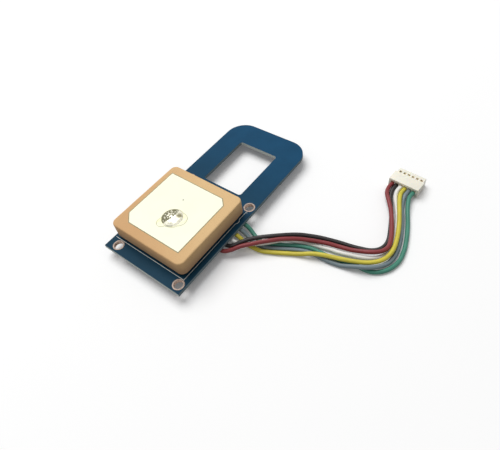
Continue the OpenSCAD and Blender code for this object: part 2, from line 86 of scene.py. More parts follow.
def startMaterial(name, roughness, metallic=0.0, specular=0.5):
    material = bpy.data.materials.new(name)
    material.use_nodes = True
    shader = material.node_tree.nodes["Principled BSDF"]
    shader.inputs["Roughness"].default_value = roughness
    shader.inputs["Metallic"].default_value = metallic
    shader.inputs["Specular IOR Level"].default_value = specular
    return material, material.node_tree, shader


def objectPoint(tree, stretch=(1, 1, 1)):
    point = addNode(tree, "ShaderNodeTexCoord").outputs["Object"]
    return addNode(tree, "ShaderNodeMapping", {"Vector": point, "Scale": stretch}).outputs[0]


def grain(tree, size, detail=3.0, stretch=(1, 1, 1)):
    settings = {"Vector": objectPoint(tree, stretch), "Scale": 1 / (size * mm), "Detail": detail}
    return addNode(tree, "ShaderNodeTexNoise", settings).outputs["Fac"]


def ramp(tree, value, stops):
    made = addNode(tree, "ShaderNodeValToRGB", {"Fac": value})
    while len(made.color_ramp.elements) < len(stops):
        made.color_ramp.elements.new(0.5)
    for element, (place, color) in zip(made.color_ramp.elements, stops):
        element.position = place
        element.color = (*color, 1)
    return made.outputs["Color"]


def shade(tree, value, color, tint, low=0.3, high=0.7):
    return ramp(tree, value, [(low, [c * tint for c in color]), (high, color)])


def calc(tree, operation, a, b=0.0, clamp=False):
    made = addNode(tree, "ShaderNodeMath", {0: a, 1: b}, operation=operation, use_clamp=clamp)
    return made.outputs[0]


def step(tree, value, low, high):
    settings = {"Value": value, "From Min": low, "From Max": high}
    return addNode(tree, "ShaderNodeMapRange", settings, interpolation_type="SMOOTHSTEP").outputs[0]


def blendColors(tree, share, first, second, way="MIX"):
    made = addNode(tree, "ShaderNodeMix", data_type="RGBA", blend_type=way)
    for key, value in (("Factor", share), ("A", first), ("B", second)):
        socket = next(s for s in made.inputs if s.name == key and s.enabled)
        if isinstance(value, bpy.types.NodeSocket):
            tree.links.new(value, socket)
        else:
            socket.default_value = value if key == "Factor" else (*value, 1)
    return next(s for s in made.outputs if s.enabled)


def setBump(tree, shader, height, depth, strength=1.0):
    made = addNode(tree, "ShaderNodeBump", {"Height": height, "Distance": depth * mm, "Strength": strength})
    tree.links.new(made.outputs["Normal"], shader.inputs["Normal"])


def setColor(tree, shader, color):
    tree.links.new(color, shader.inputs["Base Color"])


def letGlow(material, weight, reach):
    sockets = material.node_tree.nodes["Principled BSDF"].inputs
    sockets["Subsurface Weight"].default_value = weight
    sockets["Subsurface Radius"].default_value = [r * mm for r in reach]


# helpers for mesh pieces, whose points are given in mm
meshing = {
    "weld": 0.0005,
    "crease": 32,  # degrees, where shading breaks
    "flat": 1,  # degrees between faces that count as one
    "sharp": 30,  # degrees at an edge that gets eased
}


def settle(name, mesh, slot, *nodes):
    mesh.shade_smooth()
    mesh.set_sharp_from_angle(angle=math.radians(meshing["crease"]))
    piece = bpy.data.objects.new(name, mesh)
    scene.collection.objects.link(piece)
    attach(piece, "root")
    if nodes:
        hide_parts(*nodes)
    return piece


class Shape:
    def __init__(self):
        self.points = []
        self.faces = []
        self.finishes = []

    def add(self, points, faces, finish=0):
        start = len(self.points)
        self.points += points
        self.faces += [[start + i for i in face] for face in faces]
        self.finishes += [finish] * len(faces)

    def loft(self, rings, loop=False, caps=(False, False), finish=0):
        count = len(rings[0])
        faces = []
        for i in range(len(rings) if loop else len(rings) - 1):
            low, high = i * count, (i + 1) % len(rings) * count
            for k in range(count):
                after = (k + 1) % count
                faces.append((low + k, low + after, high + after, high + k))
        if caps[0]:
            faces.append(tuple(reversed(range(count))))
        if caps[1]:
            faces.append(tuple(range((len(rings) - 1) * count, len(rings) * count)))
        self.add([point for ring in rings for point in ring], faces, finish)

    def mesh(self, name, materials=()):
        made = bpy.data.meshes.new(name)
        made.from_pydata([[c * mm for c in point] for point in self.points], [], self.faces)
        for material in materials:
            made.materials.append(material)
        for face, finish in zip(made.polygons, self.finishes):
            face.material_index = finish
        form = bmesh.new()
        form.from_mesh(made)
        bmesh.ops.remove_doubles(form, verts=form.verts, dist=meshing["weld"] * mm)
        bmesh.ops.recalc_face_normals(form, faces=form.faces)
        form.to_mesh(made)
        form.free()
        return made

    def piece(self, name, materials, slot, *nodes):
        return settle(name, self.mesh(name, materials), slot, *nodes)


def easedCopy(node, name, width, material, slot):
    form = bmesh.new()
    form.from_mesh(bpy.data.objects[node].data)
    bmesh.ops.remove_doubles(form, verts=form.verts, dist=meshing["weld"] * mm)
    flat, sharp = math.radians(meshing["flat"]), math.radians(meshing["sharp"])
    bmesh.ops.dissolve_limit(form, angle_limit=flat, verts=form.verts, edges=form.edges)
    eased = [edge for edge in form.edges if edge.is_manifold and edge.calc_face_angle() > sharp]
    bmesh.ops.bevel(form, geom=eased, offset=width * mm, segments=2, profile=0.5, affect="EDGES")
    mesh = bpy.data.meshes.new(name)
    form.to_mesh(mesh)
    form.free()
    mesh.materials.clear()
    mesh.materials.append(material)
    return settle(name, mesh, slot, node)


def arcRing(center, radius, level, turns):
    return [(center[0] + radius * math.cos(a), center[1] + radius * math.sin(a), level) for a in turns]


def circleRing(center, radius, level, steps=40):
    return arcRing(center, radius, level, [2 * math.pi * k / steps for k in range(steps)])


def roundRing(center, size, radius, inset, level, cornerSteps=6, sideSteps=12):
    bend = max(radius - inset, 0.02)
    reach = [side / 2 - inset - bend for side in size]
    ring = []
    for quarter, (sx, sy) in enumerate(((1, 1), (-1, 1), (-1, -1), (1, -1))):
        turns = [math.radians(90 * (quarter + k / cornerSteps)) for k in range(cornerSteps + 1)]
        ring += [(sx * reach[0] + bend * math.cos(a), sy * reach[1] + bend * math.sin(a)) for a in turns]
        nx, ny = ((-1, 1), (-1, -1), (1, -1), (1, 1))[quarter]
        last = ring[-1]
        a = math.radians(90 * (quarter + 1))
        goal = (nx * reach[0] + bend * math.cos(a), ny * reach[1] + bend * math.sin(a))
        for k in range(1, sideSteps):
            share = k / sideSteps
            ring.append(tuple(p + (q - p) * share for p, q in zip(last, goal)))
    return [(center[0] + x, center[1] + y, level) for x, y in ring]


def boreRing(outer, center, radius, level):
    turns = [math.atan2(y - center[1], x - center[0]) for x, y, _ in outer]
    return arcRing(center, radius, level, turns)


def rolledEdge(radius):
    turns = [math.radians(15 * k) for k in range(7)]
    return [(radius * (1 - math.cos(a)), radius * (1 - math.sin(a))) for a in turns]


def wobble(ring, size, depth, center, seed=0.0):
    made = []
    for x, y, z in ring:
        out = Vector((x - center[0], y - center[1], 0)).normalized()
        shift = out * depth * noise.noise(Vector((x / size, y / size, z / size + seed)))
        made.append((x + shift.x, y + shift.y, z))
    return made


def ribbon(shape, points, width, low, high, finish=0):
    path = [Vector((x, y)) for x, y in points]
    sides = []
    for i, here in enumerate(path):
        back = (here - path[i - 1]).normalized() if i else None
        ahead = (path[i + 1] - here).normalized() if i < len(path) - 1 else None
        way = ((back or ahead) + (ahead or back)).normalized()
        reach = width / 2 / max(way.dot(ahead or back), 0.4)
        side = Vector((-way.y, way.x)) * reach
        sides.append((here + side, here - side))
    rings = [[(*a, low), (*b, low), (*b, high), (*a, high)] for a, b in sides]
    shape.loft(rings, caps=(True, True), finish=finish)


# plain soft light: one large lamp from the back left, an even sky and a pale floor
studio = {
    "keyFrom": (-0.425, 0.147, 0.893),
    "keyDistance": 1.2,  # m
    "keySize": 1.0,
    "keyShare": 0.74,  # part of the level that the lamp gives on a flat surface
    "skyShare": 0.32,
    "floorColor": (0.98, 0.98, 0.98),
    "floorBounce": (0.4, 0.4, 0.4),
    "floorLift": 0.08,
    "floorFade": (0.05, 0.4),  # m from the part, where the floor turns plain white
    "floorSize": 3.0,
    "floorDrop": 0.02 * mm,
}


def seenDirectly(tree):
    rays = addNode(tree, "ShaderNodeLightPath").outputs
    shown = calc(tree, "ADD", rays["Is Camera Ray"], rays["Is Glossy Ray"])
    return calc(tree, "ADD", shown, rays["Is Transmission Ray"], clamp=True)


def addLight():
    toLamp = Vector(studio["keyFrom"]).normalized()
    lamp = bpy.data.lights.new("keyLamp", "AREA")
    lamp.shape = "DISK"
    lamp.size = studio["keySize"]
    lamp.energy = studio["keyShare"] / toLamp.z * (math.pi * studio["keyDistance"]) ** 2
    holder = bpy.data.objects.new("keyLamp", lamp)
    holder.location = toLamp * studio["keyDistance"]
    holder.rotation_euler = toLamp.to_track_quat("Z", "Y").to_euler()
    scene.collection.objects.link(holder)
    world = bpy.data.worlds.new("paleSky")
    world.use_nodes = True
    scene.world = world
    tree = world.node_tree
    sky = tree.nodes["Background"]
    sky.inputs["Color"].default_value = (1, 1, 1, 1)
    lift = calc(tree, "MULTIPLY", seenDirectly(tree), 1 - studio["skyShare"])
    tree.links.new(calc(tree, "ADD", lift, studio["skyShare"]), sky.inputs["Strength"])


def addFloor():
    half = studio["floorSize"] / 2
    low = -studio["floorDrop"]
    corners = [(-half, -half, low), (half, -half, low), (half, half, low), (-half, half, low)]
    mesh = bpy.data.meshes.new("floor")
    mesh.from_pydata(corners, [], [(0, 1, 2, 3)])
    floor = bpy.data.objects.new("floor", mesh)
    scene.collection.objects.link(floor)
    material, tree, shader = startMaterial("paleFloor", 0.9, specular=0.0)
    shown = seenDirectly(tree)
    away = addNode(tree, "ShaderNodeVectorMath", {0: objectPoint(tree)}, operation="LENGTH")
    far = step(tree, away.outputs["Value"], *studio["floorFade"])
    pale = blendColors(tree, far, studio["floorColor"], (0, 0, 0))
    setColor(tree, shader, blendColors(tree, shown, studio["floorBounce"], pale))
    lift = calc(tree, "ADD", calc(tree, "MULTIPLY", far, 1 - studio["floorLift"]), studio["floorLift"])
    glow = calc(tree, "MULTIPLY", shown, lift)
    tree.links.new(glow, shader.inputs["Emission Strength"])
    shader.inputs["Emission Color"].default_value = (1, 1, 1, 1)
    mesh.materials.append(material)


addLight()
addFloor()
print("camera, light and floor made")


# finishes that several pieces share
def metalFinish(name, color, roughness, dull, tint=0.75, streak=(1, 1, 1), size=0.5):
    material, tree, shader = startMaterial(name, roughness, metallic=1.0)
    patches = grain(tree, size, 4.0, streak)
    setColor(tree, shader, shade(tree, patches, color, tint, high=0.65))
    rough = ramp(tree, patches, [(0.25, [dull] * 3), (0.7, [roughness] * 3)])
    tree.links.new(rough, shader.inputs["Roughness"])
    setBump(tree, shader, grain(tree, size / 3, 3.0, streak), 0.01, 0.5)
    return material


def mouldedFinish(name, color, roughness, size=0.15, depth=0.01, tint=0.85, cloud=(), bump=0.6, **base):
    material, tree, shader = startMaterial(name, roughness, **{"specular": 0.35, **base})
    setColor(tree, shader, shade(tree, grain(tree, *(cloud or [size * 8])), color, tint))
    setBump(tree, shader, grain(tree, size), depth, bump)
    return material


# board: blue mask over woven glass, with bare sides, and painted shade on the front of the mask and on the
# sideways-facing sides
board = {
    "mask": (0.013, 0.077, 0.163),
    # painted shade: the mask darker towards the front
    "maskShadedFront": (0.0095, 0.048, 0.086),
    "fade": (-20, 34),  # mm, from the front tone to the back one
    "cloud": (5.0, 4.0),  # size in mm, detail
    "cloudTint": 0.86,
    "shine": 0.04,
    "maskRough": 0.35,
    "glassRough": 0.8,
    "unevenRough": 0.08,
    "weave": 0.55,
    "weaveDepth": 0.006,
    "layer": 0.12,  # glass cloth in the sides
    "glass": (0.85, 0.91, 0.87),
    "glassDark": (0.62, 0.68, 0.64),
    # painted shade on the sides that face sideways
    "sideShade": (0.27, 0.33, 0.38),
}


def boardFinish():
    material, tree, shader = startMaterial("boardFinish", board["maskRough"], specular=board["shine"])
    facing = addNode(tree, "ShaderNodeNewGeometry").outputs["Normal"]
    turned = addNode(tree, "ShaderNodeSeparateXYZ", {0: facing}).outputs
    flat, sideways = [calc(tree, "GREATER_THAN", calc(tree, "ABSOLUTE", turned[k]), 0.7) for k in "ZX"]
    place = addNode(tree, "ShaderNodeSeparateXYZ", {0: objectPoint(tree)}).outputs
    # painted shade, the mask darkens towards the front
    backward = step(tree, place["Y"], *[end * mm for end in board["fade"]])
    mask = blendColors(tree, backward, board["maskShadedFront"], board["mask"])
    cloud = shade(tree, grain(tree, *board["cloud"]), (1, 1, 1), board["cloudTint"])
    mask = blendColors(tree, 1.0, mask, cloud, "MULTIPLY")
    layers = grain(tree, board["layer"], 2.0, (0.15, 0.15, 1))
    glass = ramp(tree, layers, [(0.35, board["glassDark"]), (0.65, board["glass"])])
    # painted shade: the glass on sideways-facing sides darkened
    dimmer = blendColors(tree, 1.0, glass, board["sideShade"], "MULTIPLY")
    glass = blendColors(tree, sideways, glass, dimmer)
    setColor(tree, shader, blendColors(tree, flat, glass, mask))
    rough = calc(tree, "MULTIPLY", flat, board["maskRough"] - board["glassRough"])
    rough = calc(tree, "ADD", rough, board["glassRough"])
    uneven = calc(tree, "MULTIPLY", grain(tree, 1.5), board["unevenRough"])
    tree.links.new(calc(tree, "ADD", rough, uneven), shader.inputs["Roughness"])
    turn = 2 * math.pi / (board["weave"] * mm)
    waves = [calc(tree, "SINE", calc(tree, "MULTIPLY", place[k], turn)) for k in "XY"]
    setBump(tree, shader, calc(tree, "MULTIPLY", *waves), board["weaveDepth"], 0.35)
    return material


def dressBoard():
    for slot in bpy.data.objects["circuit_board"].material_slots:
        slot.material = boardFinish()


dressBoard()
print("board dressed")


# plated mounting holes, each a rounded eyelet through the board
holes = {
    "places": [(-10.2, -27.4), (11.6, -27.4), (-10.2, 1.4), (11.6, 1.4)],
    "bore": 1.2,
    "barrel": 1.25,
    "ring": 1.6,
    "levels": (2.6, 3.6),
    "plate": 0.05,
    "lip": 0.09,
    "metal": (0.4, 0.31, 0.26),
    # painted light: the barrel lighter than the ring's same plating
    "barrelLightened": (0.85, 0.64, 0.52),
}


def addHoles():
    low, high = holes["levels"]
    plate, lip = holes["plate"], holes["lip"]
    bore, barrel, ring = holes["bore"], holes["barrel"], holes["ring"]
    edge = [
        (ring, 0), (ring, 0.6 * plate), (ring - 0.8 * plate, plate), (bore + lip, plate),
        (bore + lip / 3, 0.6 * plate), (bore, -plate),
    ]
    profile = [(r, high + z) for r, z in edge] + [(r, low - z) for r, z in reversed(edge)]
    profile += [(barrel, low), (barrel, high)]
    shape = Shape()
    for center in holes["places"]:
        rings = [circleRing(center, r, z) for r, z in profile]
        shape.loft([*rings[6:], *rings[:6]])
        shape.loft(rings[5:7], finish=1)
    finishes = [
        mouldedFinish(name, holes[key], 0.5, 0.2, 0.015, 0.7, (0.5, 4.0), 0.5, metallic=0.35, specular=0.3)
        for name, key in (("platedRing", "metal"), ("platedBarrel", "barrelLightened"))
    ]
    shape.piece("platedHoles", finishes, "copper_tin", "hole_platings")


addHoles()
print("plated holes made:", len(holes["places"]))


# foam pad under the antenna
foam = {
    "center": (-0.7, -12.9),
    "size": 23.8,
    "corner": 1.8,
    "levels": (3.6, 4.3),
    "bulge": [(0, 0.12), (0.1, 0.02), (0.35, 0), (0.65, 0), (0.9, 0.02), (1, 0.12)],  # share of height, inset
    "ragged": 0.06,
    "cell": 0.18,
    "bore": ((0.0, -15.3), 1.2),
    "color": (0.01, 0.01, 0.011),
}


def addFoam():
    low, high = foam["levels"]
    size, ragged = (foam["size"], foam["size"]), foam["ragged"]
    rings = []
    for share, inset in foam["bulge"]:
        level = low + (high - low) * share
        ring = roundRing(foam["center"], size, foam["corner"], inset + ragged, level, 6, 40)
        rings.append(wobble(ring, 0.5, ragged, foam["center"]))
    center, radius = foam["bore"]
    rings = [boreRing(rings[0], center, radius, low), *rings, boreRing(rings[0], center, radius, high)]
    shape = Shape()
    shape.loft(rings, loop=True)
    material, tree, shader = startMaterial("blackFoam", 0.9, specular=0.2)
    settings = {"Vector": objectPoint(tree), "Scale": 1 / (foam["cell"] * mm)}
    cells = addNode(tree, "ShaderNodeTexVoronoi", settings).outputs[0]
    setColor(tree, shader, shade(tree, cells, foam["color"], 0.4, 0.1, 0.6))
    setBump(tree, shader, cells, 0.08)
    shape.piece("foamCushion", [material], "foam", "foam_pad")


addFoam()
print("foam made")


# ceramic block with rolled top edges, silver electrode and soldered feed
antenna = {
    "center": (-0.7, -12.9),
    "size": 25.0,
    "corner": 1.8,
    "levels": (4.35, 8.95),
    "roll": 0.4,
    "foot": 0.15,
    "feed": (0.0, -15.3),
    "bore": 0.6,
    "color": (0.675, 0.403, 0.188),
    # painted light: the block lighter towards the back right
    "colorLitBackRight": (0.78, 0.53, 0.262),  # towards the back right
    "colorDark": (0.54, 0.32, 0.165),
    # painted shade: the sides darker towards the foot
    "colorFootShade": (0.5, 0.31, 0.175),
    "spread": 1.6,  # half widths over which the tone changes
    "cloud": (4.0, 0.3),  # size in mm, share
    "speck": 0.16,
    "pore": (0.1, 0.03),  # size, depth
    "uneven": 0.04,
}


def ceramicFinish():
    material, tree, shader = startMaterial("firedCeramic", 0.72, specular=0.3)
    place = addNode(tree, "ShaderNodeSeparateXYZ", {0: objectPoint(tree)}).outputs
    middle, half = sum(antenna["center"]) * mm, antenna["size"] / 2 * mm
    reach = antenna["spread"] * half
    # painted light, the block lighter towards the back right
    across = step(tree, calc(tree, "ADD", place["X"], place["Y"]), middle - reach, middle + reach)
    size, share = antenna["cloud"]
    cloud = calc(tree, "ADD", across, calc(tree, "MULTIPLY", grain(tree, size, 4.0), share))
    cloud = ramp(tree, cloud, [(0.15, antenna["color"]), (1.0, antenna["colorLitBackRight"])])
    specks = ramp(tree, grain(tree, antenna["speck"]), [(0.3, (1, 1, 1)), (0.42, (0, 0, 0))])
    body = blendColors(tree, specks, cloud, antenna["colorDark"])
    # painted shade, darker towards the foot of the block
    rise = step(tree, place["Z"], *[level * mm for level in antenna["levels"]])
    setColor(tree, shader, blendColors(tree, rise, antenna["colorFootShade"], body))
    size, depth = antenna["pore"]
    setBump(tree, shader, grain(tree, size, 4.0), depth, 0.6)
    return material


def addCeramic():
    low, high = antenna["levels"]
    size = (antenna["size"], antenna["size"])
    center, roll, foot, uneven = [antenna[key] for key in ("center", "roll", "foot", "uneven")]
    steps = [(foot, low), (foot / 5, low + foot), (0, low + 2 * foot), (0, (low + high) / 2)]
    steps += [(away, high - drop) for away, drop in rolledEdge(roll)]
    steps.append((3 * roll, high))
    rings = [
        wobble(roundRing(center, size, antenna["corner"], inset + uneven / 2, z, 8, 30), 3.0, uneven, center)
        for inset, z in steps
    ]
    bores = [boreRing(rings[0], antenna["feed"], antenna["bore"], z) for z in (low, high)]
    shape = Shape()
    shape.loft([bores[0], *rings, bores[1]], loop=True)
    shape.piece("ceramicBlock", [ceramicFinish()], "ceramic", "antenna_ceramic")


addCeramic()
print("ceramic block made")


electrode = {
    "left": 1.7,  # bare ceramic to each side
    "right": 2.9,
    "ends": 2.7,
    "cut": 2.5,
    "backCut": 1.9,
    "levels": (8.95, 9.0),
    "edge": 0.06,
    "rim": 0.28,
    "ragged": 0.05,
    "bore": 0.5,
    "color": (0.875, 0.87, 0.685),
    # painted shade on the electrode's sloping edge
    "rimShade": (0.34, 0.31, 0.19),
}


def electrodeRing(inset, level):
    half = antenna["size"] / 2
    left, right = electrode["left"] + inset - half, half - electrode["right"] - inset
    back = half - electrode["ends"] - inset
    cuts = [cut - inset * (2 - math.sqrt(2)) for cut in (electrode["cut"], electrode["backCut"])]
    corners = [
        (left + cuts[0], -back), (right, -back), (right, back - cuts[1]),
        (right - cuts[1], back), (left, back), (left, cuts[0] - back),
    ]
    ring = []
    for k, (x, y) in enumerate(corners):
        nextX, nextY = corners[(k + 1) % len(corners)]
        steps = 40 if max(abs(nextX - x), abs(nextY - y)) > 5 else 8
        for j in range(steps):
            px, py = x + (nextX - x) * j / steps, y + (nextY - y) * j / steps
            ring.append((antenna["center"][0] + px, antenna["center"][1] + py, level))
    return wobble(ring, 0.5, electrode["ragged"], antenna["center"])


def addElectrode():
    low, high = electrode["levels"]
    edge, rim = electrode["edge"], electrode["rim"]
    steps = ((edge, low), (edge, low + 0.7 * (high - low)), (rim, high))
    outer = [electrodeRing(inset, level) for inset, level in steps]
    bores = [boreRing(outer[0], antenna["feed"], electrode["bore"], z) for z in (high, low)]
    shape = Shape()
    shape.loft(outer, finish=1)
    shape.loft([outer[2], bores[0]])
    shape.loft([bores[0], bores[1], outer[0]])
    material, tree, shader = startMaterial("firedSilver", 0.62, metallic=0.25, specular=0.2)
    dimmer = [c * 0.96 for c in electrode["color"]]
    setColor(tree, shader, ramp(tree, grain(tree, 6.0), [(0.3, electrode["color"]), (0.7, dimmer)]))
    setBump(tree, shader, grain(tree, 0.2, 4.0), 0.02, 0.5)
    # painted shade on the sloping edge
    rimShadeTone = mouldedFinish("silverRim", electrode["rimShade"], 0.6)
    shape.piece("silverPatch", [material, rimShadeTone], "silver", "antenna_electrode")


addElectrode()
print("electrode made")


# solder dome over the feed pin, with painted dark reflection towards the left and on the right, painted shade
# along its front rim, and pools of flux around it
solder = {
    "radius": 2.96,
    "base": 9.0,
    "height": 0.88,
    "bright": (0.93, 0.9, 0.75),
    # painted reflection: dark olive on the left rim and in the crackled corner
    "darkReflection": (0.23, 0.22, 0.135),
    "crackleReach": 0.2,  # in radii of the dome, as the places below are
    "crackleBend": 0.42,
    "crackleShift": 0.15,
    "crackleEdge": 0.08,
    "crackSize": 0.42,  # mm
    "cracks": (0.43, 0.58),
    "rimSide": (-0.1, -0.45),
    "rimAt": (0.82, 0.93),
    "mottle": (0.72, 0.7, 0.54),
    "mottleAt": (0.5, 0.62),
    # painted shade along the front rim
    "frontWay": (0.45, -0.89, 0),
    "frontSpan": (0.92, 0.98),
    "frontAt": (0.86, 0.94),
    "frontRimShade": (0.45, 0.44, 0.35),
    # painted reflection: a dark patch on the right
    "patch": (0.38, 0.35, 0.21),
    "patchAt": (0.49, 0.47, 0),
    "patchEdge": (0.24, 0.5),
    "clear": {"Roughness": 0.3, "Metallic": 0.5, "Specular IOR Level": 0.2},
    "dull": {"Roughness": 0.7, "Metallic": 0.0, "Specular IOR Level": 0.02},
    "lump": 0.12,  # mm
    "droplet": ((0.3, -0.58), 0.17),
    "dropletRise": 0.1,
    "rings": 20,
    "flux": (0.94, 0.92, 0.5),
    # painted shade along the edges of the flux pools
    "fluxEdge": (0.68, 0.67, 0.47),
    "fluxHeight": 0.06,
    "fluxSteps": [(0, 0), (0.06, 0.5), (0.18, 0.85), (0.4, 1), (0.7, 1)],  # inset, share of height
    "pools": [((1.85, 0.55), 2.25), ((-1.35, -2.4), 1.6), ((0.1, -0.1), 3.12)],  # from the feed, with radius
    "speck": ((-1.77, 6.15), 0.25),
    "speckColor": (0.42, 0.43, 0.38),
}


def solderFinish():
    material, tree, shader = startMaterial("feedSolder", 0.3)
    size = 1 / (solder["radius"] * mm)
    middle = [-c * mm * size for c in antenna["feed"]]
    place = {"Vector": addNode(tree, "ShaderNodeTexCoord").outputs["Object"]}
    place.update({"Location": (*middle, 0), "Scale": (size, size, 0)})
    local = addNode(tree, "ShaderNodeMapping", place).outputs[0]

    def measure(operation, other=(0, 0, 0)):
        made = addNode(tree, "ShaderNodeVectorMath", {0: local, 1: other}, operation=operation)
        return made.outputs["Value"]

    away = measure("LENGTH")
    spot = addNode(tree, "ShaderNodeSeparateXYZ", {0: local}).outputs
    reach = calc(tree, "MAXIMUM", away, 0.05)
    # painted reflection, dark along the left rim and in a crackled corner
    side = step(tree, calc(tree, "DIVIDE", spot["X"], reach), *solder["rimSide"])
    rim = calc(tree, "MULTIPLY", side, step(tree, away, *solder["rimAt"]))
    off = calc(tree, "SUBTRACT", spot["Y"], solder["crackleShift"])
    bend = calc(tree, "MULTIPLY", calc(tree, "MULTIPLY", off, off), solder["crackleBend"])
    inside = calc(tree, "SUBTRACT", solder["crackleReach"], calc(tree, "ADD", spot["X"], bend))
    corner = step(tree, inside, -solder["crackleEdge"], solder["crackleEdge"])
    # painted shade along the front rim
    forward = calc(tree, "DIVIDE", measure("DOT_PRODUCT", solder["frontWay"]), reach)
    front = step(tree, forward, *solder["frontSpan"])
    front = calc(tree, "MULTIPLY", front, step(tree, away, *solder["frontAt"]))
    density = calc(tree, "MULTIPLY", calc(tree, "ADD", away, 0.2), 0.1)
    fine = grain(tree, solder["crackSize"], 2.0)
    cracks = step(tree, calc(tree, "ADD", fine, density), *solder["cracks"])
    dull = calc(tree, "MAXIMUM", rim, calc(tree, "MULTIPLY", corner, cracks))
    # painted reflection, a dark patch on the right
    toReflectedPatch = measure("DISTANCE", solder["patchAt"])
    ragged = calc(tree, "ADD", toReflectedPatch, calc(tree, "MULTIPLY", grain(tree, 0.8, 2.0), 0.3))
    patch = calc(tree, "SUBTRACT", 1.0, step(tree, ragged, *solder["patchEdge"]))
    tone = blendColors(tree, step(tree, fine, *solder["mottleAt"]), solder["bright"], solder["mottle"])
    tone = blendColors(tree, front, tone, solder["frontRimShade"])
    tone = blendColors(tree, dull, tone, solder["darkReflection"])
    setColor(tree, shader, blendColors(tree, patch, tone, solder["patch"]))
    marked = calc(tree, "MAXIMUM", dull, patch)
    for socket, clear in solder["clear"].items():
        stops = [(0.2, [clear] * 3), (0.8, [solder["dull"][socket]] * 3)]
        tree.links.new(ramp(tree, marked, stops), shader.inputs[socket])
    setBump(tree, shader, grain(tree, 0.3, 2.0), 0.05, 0.5)
    return material


def addSolder():
    center = Vector((*antenna["feed"], 0))
    shift, size = solder["droplet"]
    droplet = center + Vector((*shift, 0)) * solder["radius"]
    count = solder["rings"]
    rings = []
    for k in range(count):
        share = 1 - k / count
        lift = solder["height"] * (1 - share ** 2) ** 0.85
        ring = []
        for x, y, z in circleRing(center, solder["radius"] * share, solder["base"] + lift, 64):
            lump = noise.noise(Vector((x * 0.8, y * 0.8, 3.0))) * solder["lump"] * min(k, 8) / 8
            near = (Vector((x, y, 0)) - droplet).length / (size * solder["radius"])
            lump += solder["dropletRise"] * max(0, 1 - near ** 2)
            level = min(z + lump, solder["base"] + solder["height"])
            ring.append((x, y, max(level, solder["base"])))
        rings.append(wobble(ring, 1.2, 0.1 * share, center) if k else ring)
    shape = Shape()
    shape.loft(rings, caps=(True, True))
    shape.piece("feedSolder", [solderFinish()], "solder", "feed_solder_top")


def addFlux():
    shape = Shape()
    blobs = [*solder["pools"], solder["speck"]]
    for index, (shift, radius) in enumerate(blobs):
        center = (antenna["feed"][0] + shift[0], antenna["feed"][1] + shift[1])
        thick = min(solder["fluxHeight"], radius * 0.1)
        rings = []
        for inset, lift in solder["fluxSteps"]:
            level = electrode["levels"][1] + thick * lift
            ring = circleRing(center, radius * (1 - inset / max(radius, 1)), level, 48)
            rings.append(wobble(ring, 2.2, 0.08 * radius, center, seed=index * 7.0))
        speck = index == len(blobs) - 1
        shape.loft(rings[:3], caps=(True, False), finish=2 if speck else 1)
        shape.loft(rings[2:], caps=(False, True), finish=2 if speck else 0)
    material, tree, shader = startMaterial("clearFlux", 0.15, specular=0.5)
    pale = ramp(tree, grain(tree, 1.4), [(0.25, electrode["color"]), (0.55, solder["flux"])])
    setColor(tree, shader, pale)
    setBump(tree, shader, grain(tree, 0.8), 0.03, 0.4)
    # painted shade along the pools' edges
    edge = mouldedFinish("fluxEdge", solder["fluxEdge"], 0.3)
    speckGrey = mouldedFinish("speckGrey", solder["speckColor"], 0.5)
    shape.piece("fluxPools", [material, edge, speckGrey], "solder")


addSolder()
addFlux()
print("solder and flux made")


# ink lines on the board's top, round the antenna
ink = {
    "level": 3.6,
    "thickness": 0.02,
    "width": 0.14,
    "color": (0.84, 0.85, 0.8),
    "lines": [
        [
            (-12.9, -25.75), (11.9, -25.75), (11.9, -5.1), (12.25, -4.75), (12.25, -3.9), (11.85, -3.5),
            (11.85, -0.6),
        ],
        [(11.85, -0.6), (12.3, -0.45)],
    ],
}


def addInk():
    shape = Shape()
    for line in ink["lines"]:
        ribbon(shape, line, ink["width"], ink["level"], ink["level"] + ink["thickness"])
    shape.piece("inkLines", [mouldedFinish("whiteInk", ink["color"], 0.7, 0.1, 0.005)], "board")


addInk()
print("ink lines made:", len(ink["lines"]))


# plug: nylon shell with eased edges, and the crimped contacts inside it
plug = {
    "at": (42.3, 30.7),
    "turn": -4.0,  # degrees
    "ways": 6,
    "pitch": 1.25,
    "size": (8.6, 5.6, 3.0),
    "nose": 2.0,
    "noseDrop": 0.4,
    "noseInset": 0.4,
    "cavity": (0.95, 1.6),
    "flare": 0.05,
    "window": (0.7, 0.9),
    "windowGap": 0.1,
    "ease": 0.1,
    "contactEase": 0.02,
    "nylon": (0.95, 0.915, 0.79),
    "glow": 0.15,  # light that the nylon lets through
    "glowReach": (0.6, 0.5, 0.35),
    "brass": (0.78, 0.62, 0.32),
}


def wayX(index):
    return (index - (plug["ways"] - 1) / 2) * plug["pitch"]


def looseBlock(low, high, ease=0.0):
    form = bmesh.new()
    bmesh.ops.create_cube(form, size=1)
    for vertex in form.verts:
        vertex.co = [(a + (b - a) * (c + 0.5)) * mm for a, b, c in zip(low, high, vertex.co)]
    if ease:
        bmesh.ops.bevel(form, geom=form.edges[:], offset=ease * mm, segments=3, profile=0.5, affect="EDGES")
    mesh = bpy.data.meshes.new("block")
    form.to_mesh(mesh)
    form.free()
    return looseObject(mesh)


def looseObject(mesh):
    block = bpy.data.objects.new("block", mesh)
    scene.collection.objects.link(block)
    return block


def carve(block, tool, operation):
    cut = block.modifiers.new("carve", "BOOLEAN")
    cut.operation = operation
    cut.solver = "EXACT"
    cut.object = tool
    shown = block.evaluated_get(bpy.context.evaluated_depsgraph_get())
    carved = bpy.data.meshes.new_from_object(shown)
    block.modifiers.clear()
    block.data = carved
    bpy.data.objects.remove(tool)


